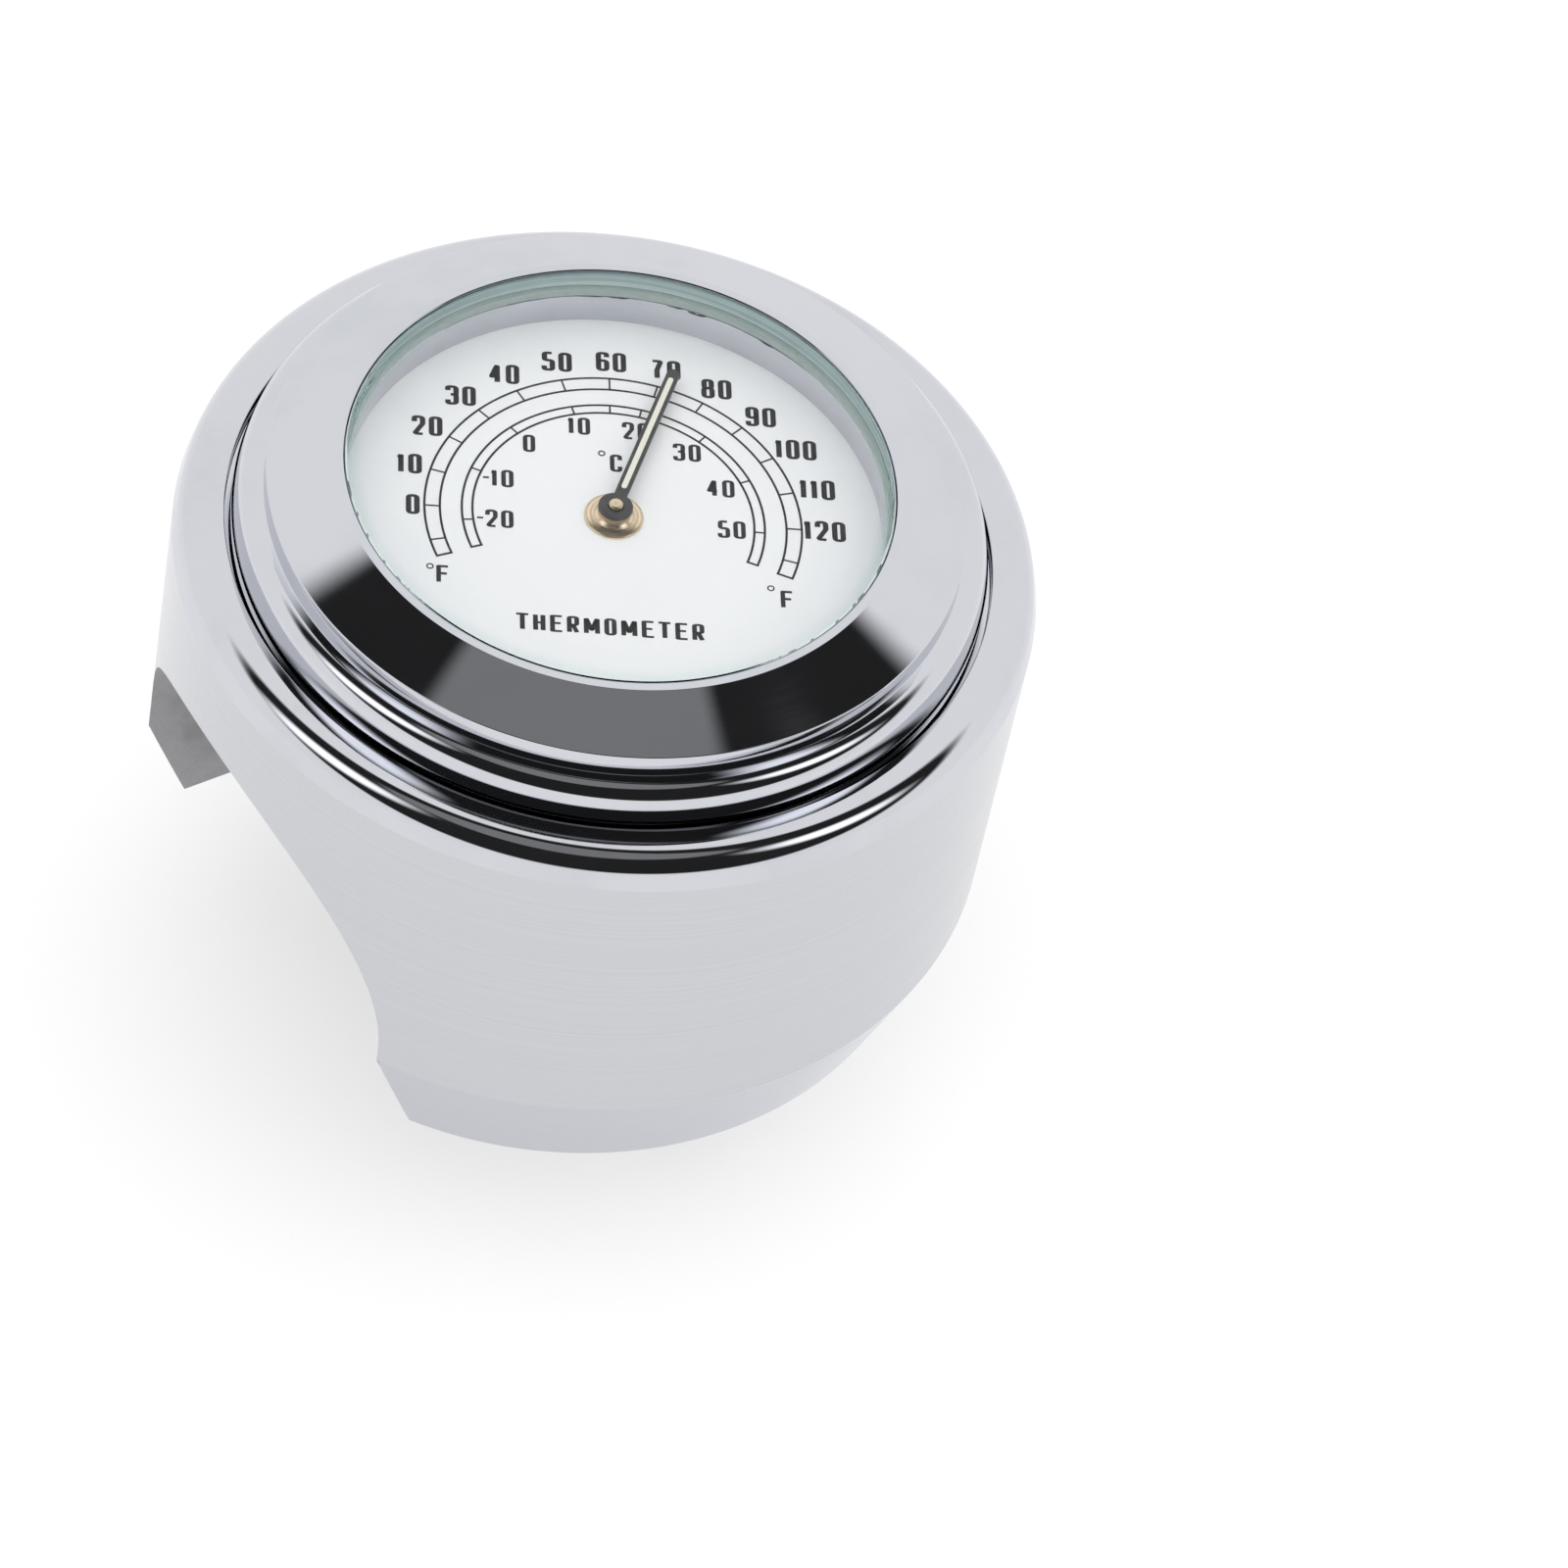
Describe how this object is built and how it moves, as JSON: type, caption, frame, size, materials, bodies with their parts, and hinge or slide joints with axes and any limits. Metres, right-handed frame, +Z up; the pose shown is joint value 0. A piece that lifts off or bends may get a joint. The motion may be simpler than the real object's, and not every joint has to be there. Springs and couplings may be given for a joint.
{
  "type": "dial thermometer",
  "caption": "Round bimetal dial thermometer with a saddle housing that clamps on a handlebar; the dial insert turns in the housing.",
  "frame": {"origin": "centre of the clamp jaw's flat underside, at the bottom centre of the part", "axes": "+Z up out of the dial along its axis, +X along the handlebar"},
  "size_m": [0.043, 0.043, 0.0364],
  "materials": {
    "plated_housing": "satin brushed bright plating",
    "chrome_bezel": "mirror polished",
    "lens_glass": "clear flat glass, pale green at its edge",
    "clear_seal": "translucent, matt",
    "dial_white": "matt white with black print",
    "steel": "plain",
    "brass": "turned",
    "pointer_black": "matt black paint",
    "inlay_cream": "matt",
    "bimetal": "rolled strip",
    "black_rubber": "matt"
  },
  "bodies": {
    "housing": {"housing": "plated_housing", "saddle_liner": "black_rubber"},
    "insert": {"bezel_ring": "chrome_bezel", "insert_seal": "black_rubber", "lens": "lens_glass", "lens_gasket": "clear_seal", "reflector_ring": "chrome_bezel", "dial_plate": "dial_white", "capsule_cup": "steel", "dial_bushing": "brass", "rear_bushing": "brass", "bimetal_coil": "bimetal", "coil_post": "steel", "coil_bracket": "steel"},
    "pointer": {"arbor": "brass", "coil_collar": "brass", "pointer": "pointer_black", "pointer_inlay": "inlay_cream"},
    "clamp": {"clamp_jaw": "plated_housing", "jaw_liner": "black_rubber"},
    "screw_near": {"clamp_screw_near": "steel"},
    "screw_far": {"clamp_screw_far": "steel"}
  },
  "joints": [
    {"name": "insert_turn", "type": "hinge", "parent": "housing", "child": "insert", "pos_m": [0, 0, 0.03], "axis": [0, 0, 1], "continuous": true},
    {"name": "pointer_sweep", "type": "hinge", "parent": "insert", "child": "pointer", "pos_m": [0, 0, 0.032], "axis": [0, 0, -1], "range_deg": [-123.75, 86.25]},
    {"name": "clamp_travel", "type": "slide", "parent": "housing", "child": "clamp", "axis": [0, 0, -1], "range_m": [0, 0.0027]},
    {"name": "screw_near_turn", "type": "hinge", "parent": "clamp", "child": "screw_near", "pos_m": [0, -0.01445, 0.005], "axis": [0, 0, -1], "range_deg": [0, 2161]},
    {"name": "screw_far_turn", "type": "hinge", "parent": "clamp", "child": "screw_far", "pos_m": [0, 0.01445, 0.005], "axis": [0, 0, -1], "range_deg": [0, 2161]}
  ],
  "couplings": [
    {"joint": "screw_near_turn", "follows": "clamp_travel", "rad_per_m": 13963},
    {"joint": "screw_far_turn", "follows": "clamp_travel", "rad_per_m": 13963}
  ]
}
